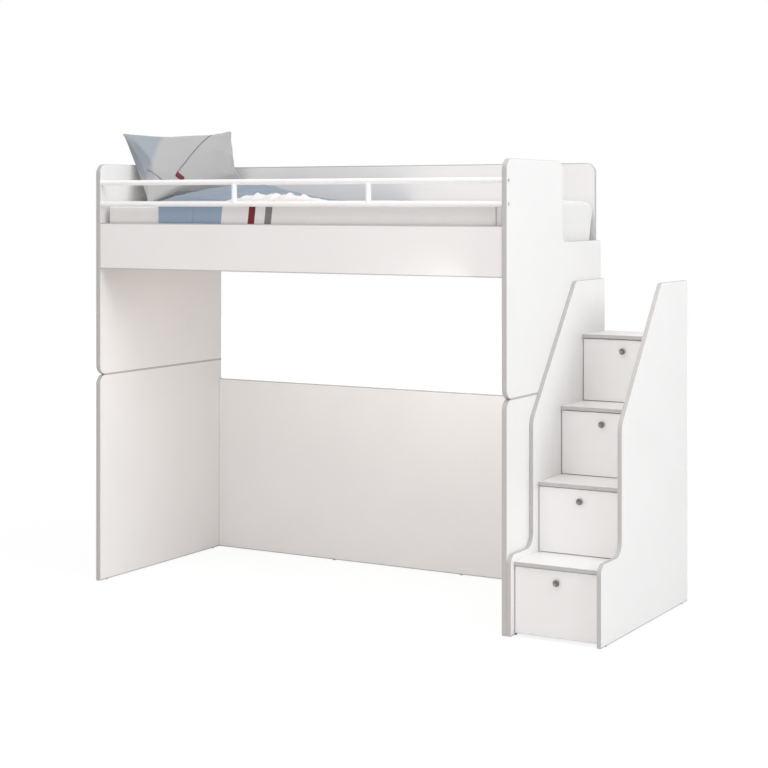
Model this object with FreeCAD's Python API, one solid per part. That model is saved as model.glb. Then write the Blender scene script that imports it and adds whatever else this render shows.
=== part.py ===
import FreeCAD, Part
import math
import os

# Loft bed with a drawer staircase. Millimetres, +Z up, front towards -Y, bed along X, stairs at +X.
# Everything is built from the bed's front left corner on the floor and moved to the middle at the end.

# Bed ends: an upper and a lower panel at each end
bed_length = 2074.0
bed_depth = 956.0
bed_height = 1900.0
panel_joint_height = 940.0
end_thickness = 22.0
corner_radius = 45.0
edge_ease = 1.2

# Rail and back boards
board_thickness = 18.0
end_over_rail = 269.0
rail_height = 207.0
rail_setback = 3.0
lower_back_drop = 96.0

# Entry cut-out in the right upper end panel
entry_width = 415.0
sill_under_rail_top = 73.0
entry_inner_radius = 32.0
sill_back_radius = 10.0

# Glides under the panels
glide_height = 4.0
glide_radius = 8.0
glide_flare = 1.5
glide_inset = 60.0
back_glide_shares = (0.33, 0.67)

# Slats and the ledges that carry them
ledge_rise = 68.0
ledge_height = 30.0
ledge_depth = 25.0
ledge_end_gap = 5.0
slat_count = 14
slat_width = 80.0
slat_thickness = 18.0
slat_end_gap = 20.0
slat_side_gap = 4.0
slat_ease = 3.0

# Guard rail of round tube
guard_tube_diameter = 24.0
guard_tube_wall = 1.5
guard_setback = 16.0
guard_rise = 87.0
guard_pitch = 95.0
guard_first_post = 731.0
guard_post_spacing = 676.0
weld_gap = 0.1
plug_length = 30.0
guard_bolt_radius = 4.0
guard_bolt_reach = 24.0

# Bolt heads, dowels and cam connectors
head_radius = 7.0
head_height = 2.5
head_bevel = 1.2
fit_clearance = 0.15
joint_dowel_radius = 5.0
joint_dowel_length = 80.0
joint_dowel_inset = 120.0
cam_radius = 7.5
cam_depth = 13.0
cam_bolt_radius = 3.5
cam_bolt_seat = 11.0
cam_reach = 34.0
cam_height_shares = (0.2, 0.8)
tread_dowel_radius = 4.0
tread_dowel_seat = 12.0
tread_dowel_reach = 20.0
tread_dowel_inset = 50.0
joining_bolt_radius = 4.0
joining_bolt_inset = 75.0
joining_bolt_drop = 30.0

# Flat sides of the small turned pieces, few so that many of them stay light
pin_sides = 8
bolt_sides = 12
knob_sides = 20

# Staircase
stair_width = 403.0
stair_side_thickness = 18.0
tread_count = 4
tread_thickness = 16.0
first_rise = 298.0
rise = 286.5
tread_setback = 26.0
top_tread_depth = 249.0
toe_over_tread = 28.0
toe_radius = 40.0
side_lead = 44.5
hollow_radius = 55.0
bend_radius = 90.0
side_over_noses = 311.0
side_over_last_tread = 231.0
side_top_radius = 28.0
side_back_radius = 8.0

# Drawers under the treads
drawer_front_thickness = 16.0
drawer_front_setback = 8.0
drawer_side_reveal = 2.5
drawer_top_reveal = 3.0
drawer_floor_gap = 13.0
drawer_tread_gap = 2.0
drawer_board = 12.0
drawer_box_height = 180.0
drawer_box_lift = 16.0
drawer_bottom_thickness = 4.0
drawer_groove_lift = 10.0
drawer_groove_depth = 5.0
drawer_max_depth = 500.0
drawer_rear_gap = 12.0

# Two-piece steel runners: a channel on the stair side holds a channel on the drawer
runner_space = 12.5
runner_height = 36.0
runner_sheet = 1.5
runner_gap = 0.3
runner_lift = 60.0

# Low round knobs, each with its screw through the drawer front
knob_radius = 13.0
knob_height = 11.0
knob_cap = 5.0
knob_bevel = 1.5
knob_dish = 1.0
knob_dish_radius = 6.0
knob_neck_radius = 7.0
knob_base_radius = 9.0
knob_base_height = 2.0
knob_drop = 49.0
knob_screw_radius = 2.0
knob_screw_head_radius = 4.5
knob_screw_head = 2.5

# Bedding
soft_gap = 0.4
mattress_thickness = 180.0
mattress_end_gap = 14.0
mattress_back_gap = 9.0
mattress_corner_radius = 35.0
mattress_edge_radius = 14.0
mattress_waist = 3.0
mattress_crown = 4.0
mattress_crown_reach = 60.0
bedding_front_gap = 3.5
cover_thickness = 8.0
cover_head_inset = 296.0
cover_edge_radius = 6.0
cover_tuck = 40.0
cover_hump = 80.0
pillow_width = 722.0
pillow_height = 358.0
pillow_thickness = 150.0
pillow_edge = 9.0
pillow_lean = 24.0
pillow_turn = 8.5
pillow_tilt = 2.0
pillow_near_gap = 150.0

# Shares of the sizes that they follow: along the cover with its hump, up the pillow with its thickness
cover_station_shares = (0.0, 0.04, 0.09, 0.13, 0.175, 0.215, 0.27, 0.335, 1.0)
cover_hump_shares = (0.70, 0.85, 1.0, 0.97, 0.76, 0.53, 0.26, 0.08, 0.08)
cover_ridge_share = 0.52
pillow_station_shares = (-0.5, -0.4, -0.2, 0.2, 0.4, 0.5)
pillow_swell_shares = (0.0, 0.52, 0.95, 0.95, 0.52, 0.0)
pillow_draw_in_share = 0.07

# One overrun for every cut, the size under which a length counts as none, a turn in degrees,
# and how far the middle of a quarter round lies from each side of its corner, as a share of its radius
overrun = 5.0
flat_limit = 1e-4
full_turn = 360.0
quarter_round_share = 1 - math.sqrt(1 / 2)

# Places that follow from the sizes above
inner_left = end_thickness
inner_right = bed_length - end_thickness
rail_top = bed_height - end_over_rail
rail_bottom = rail_top - rail_height
rail_inner = rail_setback + board_thickness
back_inner = bed_depth - board_thickness
entry_front = bed_depth - entry_width
entry_sill = rail_top - sill_under_rail_top
ledge_bottom = rail_bottom + ledge_rise
slat_bottom = ledge_bottom + ledge_height
slat_top = slat_bottom + slat_thickness
guard_radius = guard_tube_diameter / 2
guard_heights = (rail_top + guard_rise, rail_top + guard_rise + guard_pitch)
stair_left = bed_length
stair_right = stair_left + stair_width
bay_left = stair_left + stair_side_thickness
bay_right = stair_right - stair_side_thickness
bay_middle = (bay_left + bay_right) / 2
going = (bed_depth - tread_setback - top_tread_depth) / (tread_count - 1)
pitch = rise / going
mattress_top = slat_top + mattress_thickness
mattress_left = inner_left + mattress_end_gap
mattress_right = inner_right - mattress_end_gap
cover_front = max(rail_inner, guard_setback + guard_radius) + bedding_front_gap
mattress_front = cover_front + cover_thickness + soft_gap
mattress_back = back_inner - mattress_back_gap
to_middle = FreeCAD.Vector(-(stair_right - head_height) / 2, -bed_depth / 2, 0)

along_x = FreeCAD.Vector(1, 0, 0)
along_y = FreeCAD.Vector(0, 1, 0)
along_z = FreeCAD.Vector(0, 0, 1)


def tread_top(step):
    return first_rise + (step - 1) * rise


def tread_front(step):
    return tread_setback + (step - 1) * going


def put(node, *solids):
    shape = solids[0] if len(solids) == 1 else Part.makeCompound(list(solids))
    shape.translated(to_middle).exportStep(f"parts/{node}.step")


def box(x0, x1, y0, y1, z0, z1):
    return Part.makeBox(x1 - x0, y1 - y0, z1 - z0, FreeCAD.Vector(x0, y0, z0))


def rod(radius, start, axis, length):
    return Part.makeCylinder(radius, length, start, axis)


def turned(rings, start, axis, sides):
    # A turned piece with flat sides; each ring is a distance along the axis and a radius.
    across = along_x if axis.z else along_z
    spokes = [FreeCAD.Rotation(axis, i * full_turn / sides).multVec(across) for i in range(sides)]
    loops = []
    for distance, radius in rings:
        hub = start + axis * distance
        loops.append([hub + spoke * radius for spoke in spokes])
    outlines = [loops[0], loops[-1]]
    for near, far in zip(loops, loops[1:]):
        outlines += [[near[i - 1], near[i], far[i], far[i - 1]] for i in range(sides)]
    faces = [Part.Face(Part.makePolygon(outline + outline[:1])) for outline in outlines]
    return Part.makeSolid(Part.makeShell(faces))


def pin(radius, start, axis, length, sides=pin_sides):
    return turned([(0, radius), (length, radius)], start, axis, sides)


def eased(board):
    return board.makeChamfer(edge_ease, board.Edges)


def rounded_wire(corners, place):
    # Each corner is its two coordinates and a radius; place turns the coordinates into a point.
    stops = []
    for i, (a, b, radius) in enumerate(corners):
        point = place(a, b)
        before = place(*corners[i - 1][:2])
        after = place(*corners[(i + 1) % len(corners)][:2])
        arrive = (point - before).normalize()
        leave = (after - point).normalize()
        half_turn = arrive.getAngle(leave) / 2
        reach = radius * math.tan(half_turn)
        bow = (leave - arrive).normalize() * (radius / math.cos(half_turn) - radius)
        stops.append((point - arrive * reach, point + bow, point + leave * reach))
    edges = []
    for i, (start, middle, end) in enumerate(stops):
        if corners[i][2] > 0:
            edges.append(Part.Arc(start, middle, end).toShape())
        edges.append(Part.LineSegment(end, stops[(i + 1) % len(stops)][0]).toShape())
    return Part.Wire(edges)


def end_board(x, thickness, corners):
    # A board that stands across the bed, its outline in Y and Z, with both outlines eased.
    outline = rounded_wire(corners, lambda y, z: FreeCAD.Vector(x, y, z))
    board = Part.Face(outline).extrude(along_x * thickness)
    return board.makeChamfer(edge_ease, [e for e in board.Edges if e.BoundBox.XLength < flat_limit])


def long_board(y, thickness, corners):
    # A board that stands along the bed, its outline in X and Z, with both outlines eased.
    outline = rounded_wire(corners, lambda x, z: FreeCAD.Vector(x, y, z))
    board = Part.Face(outline).extrude(along_y * thickness)
    return board.makeChamfer(edge_ease, [e for e in board.Edges if e.BoundBox.YLength < flat_limit])


def mirrored(solid, middle_x):
    return solid.mirror(along_x * middle_x, along_x)


class Fittings:
    # Collects the fasteners, and the holes that they need in each board.
    def __init__(self):
        self.holes = {}
        self.cam_bolts = []
        self.cam_locks = []
        self.panel_dowels = []
        self.tread_dowels = []
        self.guard_bolts = []
        self.joining_bolts = []

    def drill(self, node, radius, start, axis, length, sides=pin_sides):
        hole = pin(radius + fit_clearance, start, axis, length, sides)
        self.holes.setdefault(node, []).append(hole)

    def fit(self, node, board):
        put(node, board.cut(self.holes[node]) if node in self.holes else board)

    def cam_pair(self, board, post, x, side, board_y, z):
        # A bolt seated in the post at plane x reaches into the board, where a cam in its back holds it.
        seat = FreeCAD.Vector(x - side * cam_bolt_seat, board_y + board_thickness / 2, z)
        length = cam_bolt_seat + cam_reach
        inward = along_x * side
        cam_place = FreeCAD.Vector(x + side * cam_reach, board_y + board_thickness, z)
        cam = pin(cam_radius, cam_place, -along_y, cam_depth, bolt_sides)
        slot = pin(cam_bolt_radius + fit_clearance, seat, inward, length + fit_clearance)
        self.cam_bolts.append(pin(cam_bolt_radius, seat, inward, length))
        self.cam_locks.append(cam.cut(slot))
        self.drill(board, cam_bolt_radius, seat, inward, length + fit_clearance)
        self.drill(board, cam_radius, cam_place, -along_y, cam_depth + fit_clearance, bolt_sides)
        self.drill(post, cam_bolt_radius, seat - inward * fit_clearance, inward, length)

    def cam_board(self, board, left_post, right_post, board_y, low, left_high, right_high):
        # Two cams at each end, spaced over the height that the board shares with its post there.
        for share in cam_height_shares:
            self.cam_pair(board, left_post, inner_left, 1, board_y, low + share * (left_high - low))
            self.cam_pair(board, right_post, inner_right, -1, board_y, low + share * (right_high - low))

    def dowel_panels(self, lower, upper, x):
        for y in (joint_dowel_inset, bed_depth - joint_dowel_inset):
            start = FreeCAD.Vector(x, y, panel_joint_height - joint_dowel_length / 2)
            self.panel_dowels.append(pin(joint_dowel_radius, start, along_z, joint_dowel_length))
            hole = start - along_z * fit_clearance
            hole_length = joint_dowel_length + 2 * fit_clearance
            for node in (lower, upper):
                self.drill(node, joint_dowel_radius, hole, along_z, hole_length)

    def dowel_tread(self, node, front, back, z):
        length = tread_dowel_seat + tread_dowel_reach
        joints = (("stair_left_side", bay_left, 1), ("stair_right_side", bay_right, -1))
        for side_node, x, side in joints:
            for y in (front + tread_dowel_inset, back - tread_dowel_inset):
                start = FreeCAD.Vector(x - side * tread_dowel_seat, y, z)
                inward = along_x * side
                self.tread_dowels.append(pin(tread_dowel_radius, start, inward, length))
                hole = start - inward * fit_clearance
                for drilled in (node, side_node):
                    self.drill(drilled, tread_dowel_radius, hole, inward, length + 2 * fit_clearance)

    def bolt_guard(self, panel, outer_x, side):
        length = end_thickness + guard_bolt_reach
        inward = along_x * side
        rings = [
            (-head_height, head_radius - head_bevel),
            (head_bevel - head_height, head_radius),
            (0, head_radius),
            (0, guard_bolt_radius),
            (length, guard_bolt_radius),
        ]
        for z in guard_heights:
            start = FreeCAD.Vector(outer_x, guard_setback, z)
            self.guard_bolts.append(turned(rings, start, inward, bolt_sides))
            self.drill(panel, guard_bolt_radius, start, inward, length, bolt_sides)

    def join_stair(self, y, z):
        inside = FreeCAD.Vector(inner_right, y, z)
        length = end_thickness + stair_side_thickness
        rings = [
            (-head_height, head_radius),
            (0, head_radius),
            (0, joining_bolt_radius),
            (length, joining_bolt_radius),
            (length, head_radius),
            (length + head_height, head_radius),
        ]
        self.joining_bolts.append(turned(rings, inside, along_x, bolt_sides))
        for node in ("right_lower_end_panel", "stair_left_side"):
            self.drill(node, joining_bolt_radius, inside, along_x, length, bolt_sides)


fittings = Fittings()


def bed_fittings():
    fittings.dowel_panels("left_lower_end_panel", "left_upper_end_panel", end_thickness / 2)
    fittings.dowel_panels("right_lower_end_panel", "right_upper_end_panel", bed_length - end_thickness / 2)
    uppers = ("left_upper_end_panel", "right_upper_end_panel")
    lowers = ("left_lower_end_panel", "right_lower_end_panel")
    lower_top = panel_joint_height - lower_back_drop
    fittings.cam_board("front_side_rail", *uppers, rail_setback, rail_bottom, rail_top, rail_top)
    fittings.cam_board("upper_back_panel", *uppers, back_inner, rail_bottom, bed_height, entry_sill)
    fittings.cam_board("lower_back_panel", *lowers, back_inner, glide_height, lower_top, lower_top)
    fittings.bolt_guard("left_upper_end_panel", 0, 1)
    fittings.bolt_guard("right_upper_end_panel", bed_length, -1)
    under_first = tread_top(1) - tread_thickness - joining_bolt_drop
    under_second = tread_top(2) - tread_thickness - joining_bolt_drop
    fittings.join_stair(joining_bolt_inset + tread_setback, under_first)
    fittings.join_stair(back_inner - joining_bolt_inset, under_first)
    fittings.join_stair(back_inner - joining_bolt_inset, under_second)


def end_panels():
    upper = [
        (0, panel_joint_height, corner_radius),
        (0, bed_height, corner_radius),
        (bed_depth, bed_height, 0),
        (bed_depth, panel_joint_height, 0),
    ]
    upper_with_entry = [
        (0, panel_joint_height, corner_radius),
        (0, bed_height, corner_radius),
        (entry_front, bed_height, corner_radius),
        (entry_front, entry_sill, entry_inner_radius),
        (bed_depth, entry_sill, sill_back_radius),
        (bed_depth, panel_joint_height, 0),
    ]
    lower = [
        (0, glide_height, 0),
        (0, panel_joint_height, corner_radius),
        (bed_depth, panel_joint_height, 0),
        (bed_depth, glide_height, 0),
    ]
    fittings.fit("left_upper_end_panel", end_board(0, end_thickness, upper))
    fittings.fit("left_lower_end_panel", end_board(0, end_thickness, lower))
    fittings.fit("right_upper_end_panel", end_board(inner_right, end_thickness, upper_with_entry))
    fittings.fit("right_lower_end_panel", end_board(inner_right, end_thickness, lower))


def long_boards():
    rail_back = rail_setback + board_thickness
    rail = eased(box(inner_left, inner_right, rail_setback, rail_back, rail_bottom, rail_top))
    lower_top = panel_joint_height - lower_back_drop
    lower = eased(box(inner_left, inner_right, back_inner, bed_depth, glide_height, lower_top))
    upper = long_board(back_inner, board_thickness, [
        (inner_left, rail_bottom, 0),
        (inner_left, bed_height, 0),
        (inner_right, bed_height, corner_radius),
        (inner_right, rail_bottom, 0),
    ])
    fittings.fit("front_side_rail", rail)
    fittings.fit("upper_back_panel", upper)
    fittings.fit("lower_back_panel", lower)


def glides():
    spots = []
    for x in (end_thickness / 2, bed_length - end_thickness / 2):
        spots += [(x, glide_inset), (x, bed_depth - glide_inset)]
    for x in (stair_left + stair_side_thickness / 2, stair_right - stair_side_thickness / 2):
        spots += [(x, glide_inset), (x, bed_depth - glide_inset)]
    for share in back_glide_shares:
        spots.append((inner_left + share * (inner_right - inner_left), bed_depth - board_thickness / 2))
    rings = [(0, glide_radius - glide_flare), (glide_height, glide_radius)]
    feet = [turned(rings, FreeCAD.Vector(x, y, 0), along_z, bolt_sides) for x, y in spots]
    put("floor_glides", *feet)


def slat_base():
    ledge_ends = (inner_left + ledge_end_gap, inner_right - ledge_end_gap)
    heights = (ledge_bottom, slat_bottom)
    put("front_slat_ledge", eased(box(*ledge_ends, rail_inner, rail_inner + ledge_depth, *heights)))
    put("rear_slat_ledge", eased(box(*ledge_ends, back_inner - ledge_depth, back_inner, *heights)))
    first = inner_left + slat_end_gap
    step = (inner_right - slat_end_gap - slat_width - first) / (slat_count - 1)
    front = rail_inner + slat_side_gap
    back = back_inner - slat_side_gap
    slats = []
    for i in range(slat_count):
        x = first + i * step
        slat = box(x, x + slat_width, front, back, slat_bottom, slat_top)
        upper = [e for e in slat.Edges if e.BoundBox.ZMin > slat_top - flat_limit]
        slats.append(slat.makeChamfer(slat_ease, [e for e in upper if e.BoundBox.XLength < flat_limit]))
    put("bed_slats", *slats)


def guard_rail():
    span = inner_right - inner_left
    bore = guard_radius - guard_tube_wall
    plugs = []
    for node, z in zip(("guard_bottom_rail", "guard_top_rail"), guard_heights):
        start = FreeCAD.Vector(inner_left, guard_setback, z)
        put(node, rod(guard_radius, start, along_x, span).cut(rod(bore, start, along_x, span)))
        for end in (start, start + along_x * (span - plug_length)):
            plug = pin(bore - fit_clearance, end, along_x, plug_length, bolt_sides)
            hole = pin(guard_bolt_radius + fit_clearance, end, along_x, plug_length, bolt_sides)
            plugs.append(plug.cut(hole))
    first = inner_left + guard_first_post
    posts = []
    for x in (first, first + guard_post_spacing):
        foot = FreeCAD.Vector(x, guard_setback, guard_heights[0])
        post = rod(guard_radius, foot, along_z, guard_pitch)
        for z in guard_heights:
            saddle = FreeCAD.Vector(x - guard_tube_diameter, guard_setback, z)
            post = post.cut(rod(guard_radius + weld_gap, saddle, along_x, 2 * guard_tube_diameter))
        posts.append(post)
    put("guard_posts", *posts)
    put("guard_end_plugs", *plugs)


def stair_sides():
    toe_top = tread_top(1) + toe_over_tread
    riser = tread_front(2) - side_lead
    bend = tread_top(2) - side_lead * pitch + side_over_noses
    top = tread_top(tread_count) + side_over_last_tread
    profile = [
        (0, glide_height, 0),
        (0, toe_top, toe_radius),
        (riser, toe_top, hollow_radius),
        (riser, bend, bend_radius),
        (riser + (top - bend) / pitch, top, side_top_radius),
        (bed_depth, top, side_back_radius),
        (bed_depth, glide_height, 0),
    ]
    fittings.fit("stair_left_side", end_board(stair_left, stair_side_thickness, profile))
    fittings.fit("stair_right_side", end_board(bay_right, stair_side_thickness, profile))


def treads():
    for step in range(1, tread_count + 1):
        node = f"stair_tread_{step}"
        front = tread_front(step)
        back = bed_depth if step == tread_count else back_inner
        top = tread_top(step)
        fittings.dowel_tread(node, front, back, top - tread_thickness / 2)
        fittings.fit(node, eased(box(bay_left, bay_right, front, back, top - tread_thickness, top)))


def stair_back():
    # The back stands behind the full-depth treads and carries the top one.
    top = tread_top(tread_count) - tread_thickness
    put("stair_back_panel", eased(box(bay_left, bay_right, back_inner, bed_depth, glide_height, top)))


def runner_channel(x0, x1, y0, y1, z, height, open_left):
    # A steel channel along Y, open to its left or to its right.
    outer = box(x0, x1, y0, y1, z - height / 2, z + height / 2)
    inside = height / 2 - runner_sheet
    x_from = x0 - overrun if open_left else x0 + runner_sheet
    x_to = x1 - runner_sheet if open_left else x1 + overrun
    return outer.cut(box(x_from, x_to, y0 - overrun, y1 + overrun, z - inside, z + inside))


def knob(place):
    inside = -drawer_front_thickness
    under_cap = knob_height - knob_cap
    rings = [
        (inside - knob_screw_head, knob_screw_head_radius),
        (inside, knob_screw_head_radius),
        (inside, knob_screw_radius),
        (0, knob_screw_radius),
        (0, knob_base_radius),
        (knob_base_height, knob_base_radius),
        (knob_base_height, knob_neck_radius),
        (under_cap, knob_neck_radius),
        (under_cap, knob_radius),
        (knob_height - knob_bevel, knob_radius),
        (knob_height, knob_radius - knob_bevel),
        (knob_height - knob_dish, knob_dish_radius),
    ]
    return turned(rings, place, -along_y, knob_sides)


def drawer(step):
    front_y = tread_front(step) + drawer_front_setback
    box_front = front_y + drawer_front_thickness
    front_low = drawer_floor_gap if step == 1 else tread_top(step - 1) + drawer_tread_gap
    front_high = tread_top(step) - tread_thickness - drawer_top_reveal
    box_back = box_front + min(drawer_max_depth, back_inner - drawer_rear_gap - box_front)
    low = front_low + drawer_box_lift
    high = low + drawer_box_height
    left = bay_left + runner_space
    right = bay_right - runner_space
    floor_low = low + drawer_groove_lift
    floor_high = floor_low + drawer_bottom_thickness
    groove_left = left + drawer_board - drawer_groove_depth
    groove_right = right - drawer_board + drawer_groove_depth
    groove_front = box_front - drawer_groove_depth
    groove_high = floor_high + fit_clearance
    groove = box(groove_left, groove_right, groove_front, box_back + overrun, floor_low, groove_high)
    slip = fit_clearance

    knob_place = FreeCAD.Vector(bay_middle, front_y, front_high - knob_drop)
    inside_place = knob_place + along_y * drawer_front_thickness
    screw_hole = pin(knob_screw_radius + slip, inside_place, -along_y, drawer_front_thickness, knob_sides)
    front_ends = (bay_left + drawer_side_reveal, bay_right - drawer_side_reveal)
    front = eased(box(*front_ends, front_y, box_front, front_low, front_high))
    left_side = box(left, left + drawer_board, box_front, box_back, low, high).cut(groove)
    inner = (left + drawer_board, right - drawer_board)
    floor_run = (groove_front + slip, box_back)
    floor = box(groove_left + slip, groove_right - slip, *floor_run, floor_low, floor_high)
    put(f"drawer_{step}_front", front.cut([groove, screw_hole]))
    put(f"drawer_{step}_knob", knob(knob_place))
    put(f"drawer_{step}_left_side", left_side)
    put(f"drawer_{step}_right_side", mirrored(left_side, bay_middle))
    put(f"drawer_{step}_back", box(*inner, box_back - drawer_board, box_back, groove_high, high))
    put(f"drawer_{step}_bottom", floor)

    runner_z = low + runner_lift
    run = (box_front, box_back, runner_z)
    fixed = runner_channel(bay_left, left - runner_sheet - runner_gap, *run, runner_height, False)
    sliding_height = runner_height - 2 * (runner_sheet + runner_gap)
    sliding = runner_channel(bay_left + runner_sheet + runner_gap, left, *run, sliding_height, True)
    put(f"drawer_{step}_runners", sliding, mirrored(sliding, bay_middle))
    return [fixed, mirrored(fixed, bay_middle)]


def mattress():
    # Rounded rims, a side drawn in at its middle, and a shallow crown on top.
    def section(z, inset):
        radius = mattress_corner_radius - min(inset, mattress_edge_radius)
        left, right = mattress_left + inset, mattress_right - inset
        front, back = mattress_front + inset, mattress_back - inset
        corners = [(left, front), (left, back), (right, back), (right, front)]
        rounded = [(*corner, radius) for corner in corners]
        return rounded_wire(rounded, lambda x, y: FreeCAD.Vector(x, y, z))

    edge = mattress_edge_radius
    middle = edge * quarter_round_share
    rim = mattress_top - mattress_crown
    sections = [
        section(slat_top, edge),
        section(slat_top + middle, middle),
        section(slat_top + edge, 0),
        section((slat_top + rim) / 2, mattress_waist),
        section(rim - edge, 0),
        section(rim - middle, middle),
        section(rim, edge),
        section(mattress_top, edge + mattress_crown_reach),
    ]
    put("mattress", Part.makeLoft(sections, True, True))


def cover_section(x, hump):
    low = rail_top - cover_tuck
    flat = mattress_top + soft_gap
    edge = mattress_top + cover_thickness
    inner = mattress_front - soft_gap
    bend_inset = cover_edge_radius * quarter_round_share
    ridge = cover_front + cover_ridge_share * (mattress_back - cover_front)

    def at(y, z):
        return FreeCAD.Vector(x, y, z)

    bend = (at(cover_front, edge - cover_edge_radius), at(cover_front + cover_edge_radius, edge))
    bend_middle = at(cover_front + bend_inset, edge - bend_inset)
    back_top = at(mattress_back, edge)
    edges = [
        Part.LineSegment(at(cover_front, low), bend[0]),
        Part.Arc(bend[0], bend_middle, bend[1]),
        Part.Arc(bend[1], at(ridge, edge + hump), back_top),
        Part.LineSegment(back_top, at(mattress_back, flat)),
        Part.LineSegment(at(mattress_back, flat), at(inner, flat)),
        Part.LineSegment(at(inner, flat), at(inner, low)),
        Part.LineSegment(at(inner, low), at(cover_front, low)),
    ]
    return Part.Wire([edge.toShape() for edge in edges])


def bed_cover():
    # The cover lies humped near the pillow, and hangs down at the front and at the foot of the mattress.
    head = mattress_left + cover_head_inset
    foot = mattress_right + soft_gap + cover_thickness
    sections = []
    for share, hump_share in zip(cover_station_shares, cover_hump_shares):
        sections.append(cover_section(head + share * (foot - head), hump_share * cover_hump))
    draped = Part.makeLoft(sections, True, True)
    # The end's drop runs into the middle of the cloth above it and of the cloth at its front, and
    # hangs as low as the mattress.
    half = cover_thickness / 2
    drop_heights = (slat_top, mattress_top + soft_gap + half)
    drop = box(foot - cover_thickness, foot, cover_front + half, mattress_back, *drop_heights)
    put("bed_cover", draped.fuse(drop).removeSplitter())


def pillow():
    # A lens-shaped section at each height, wide at the corners and drawn in between them.
    lean = math.radians(pillow_lean)
    turn = math.radians(pillow_turn)
    half_edge = pillow_edge / 2

    def section(up_share, swell):
        v = up_share * pillow_height
        draw_in = pillow_draw_in_share * pillow_width * (1 - (2 * up_share) ** 2)
        reach = (pillow_width - draw_in) / 2
        bulge = half_edge + swell * (pillow_thickness - pillow_edge) / 2 + half_edge

        def at(along, out):
            return FreeCAD.Vector(out, along, v)

        edges = [
            Part.Arc(at(-reach, half_edge), at(0, bulge), at(reach, half_edge)),
            Part.LineSegment(at(reach, half_edge), at(reach, -half_edge)),
            Part.Arc(at(reach, -half_edge), at(0, -bulge), at(-reach, -half_edge)),
            Part.LineSegment(at(-reach, -half_edge), at(-reach, half_edge)),
        ]
        return Part.Wire([edge.toShape() for edge in edges])

    stations = zip(pillow_station_shares, pillow_swell_shares)
    solid = Part.makeLoft([section(share, swell) for share, swell in stations], True, True)
    solid.rotate(FreeCAD.Vector(), along_x, pillow_tilt)
    solid.rotate(FreeCAD.Vector(), along_y, -pillow_lean)
    solid.rotate(FreeCAD.Vector(), along_z, -pillow_turn)
    # It stands on the mattress and leans on the inner top edge of the left end panel. Its turn brings
    # the round of its back nearer to the panel on one side of its middle.
    low = solid.BoundBox.ZMin
    centre_z = mattress_top + soft_gap - low
    lean_offset = (bed_height - centre_z) * math.tan(lean)
    back_offset = (pillow_thickness / 2 + pillow_edge + soft_gap) / math.cos(lean)
    turn_offset = (math.tan(turn) * pillow_width / 2) ** 2 / (4 * back_offset)
    centre_x = inner_left + lean_offset + back_offset + turn_offset
    centre_y = mattress_front + pillow_near_gap + pillow_width / 2
    put("pillow", solid.translated(FreeCAD.Vector(centre_x, centre_y, centre_z)))


os.makedirs("parts", exist_ok=True)
bed_fittings()
treads()
end_panels()
long_boards()
glides()
slat_base()
guard_rail()
stair_sides()
stair_back()
fixed_runners = []
for step in range(1, tread_count + 1):
    fixed_runners += drawer(step)
put("fixed_drawer_runners", *fixed_runners)
put("cam_bolts", *fittings.cam_bolts)
put("cam_locks", *fittings.cam_locks)
put("panel_dowels", *fittings.panel_dowels)
put("tread_dowels", *fittings.tread_dowels)
put("guard_rail_bolts", *fittings.guard_bolts)
put("stair_joining_bolts", *fittings.joining_bolts)
mattress()
bed_cover()
pillow()
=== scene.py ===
import bpy
import math
from mathutils import Matrix, Vector, noise


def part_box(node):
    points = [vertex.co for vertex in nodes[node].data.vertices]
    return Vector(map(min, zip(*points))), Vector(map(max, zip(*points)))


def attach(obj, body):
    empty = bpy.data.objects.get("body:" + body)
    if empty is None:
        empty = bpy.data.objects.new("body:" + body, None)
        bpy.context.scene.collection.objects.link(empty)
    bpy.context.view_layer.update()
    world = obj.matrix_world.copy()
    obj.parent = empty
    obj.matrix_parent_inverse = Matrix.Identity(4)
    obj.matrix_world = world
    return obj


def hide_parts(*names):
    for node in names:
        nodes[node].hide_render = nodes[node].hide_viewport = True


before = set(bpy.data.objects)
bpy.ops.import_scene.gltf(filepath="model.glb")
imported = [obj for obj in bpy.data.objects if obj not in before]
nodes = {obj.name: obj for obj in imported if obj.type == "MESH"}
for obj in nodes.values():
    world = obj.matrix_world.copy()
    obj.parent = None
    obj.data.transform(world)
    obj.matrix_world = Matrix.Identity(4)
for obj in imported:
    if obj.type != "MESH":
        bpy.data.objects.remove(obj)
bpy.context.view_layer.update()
bpy.ops.object.select_all(action="DESELECT")
print("frame loaded,", len(nodes), "nodes")


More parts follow.
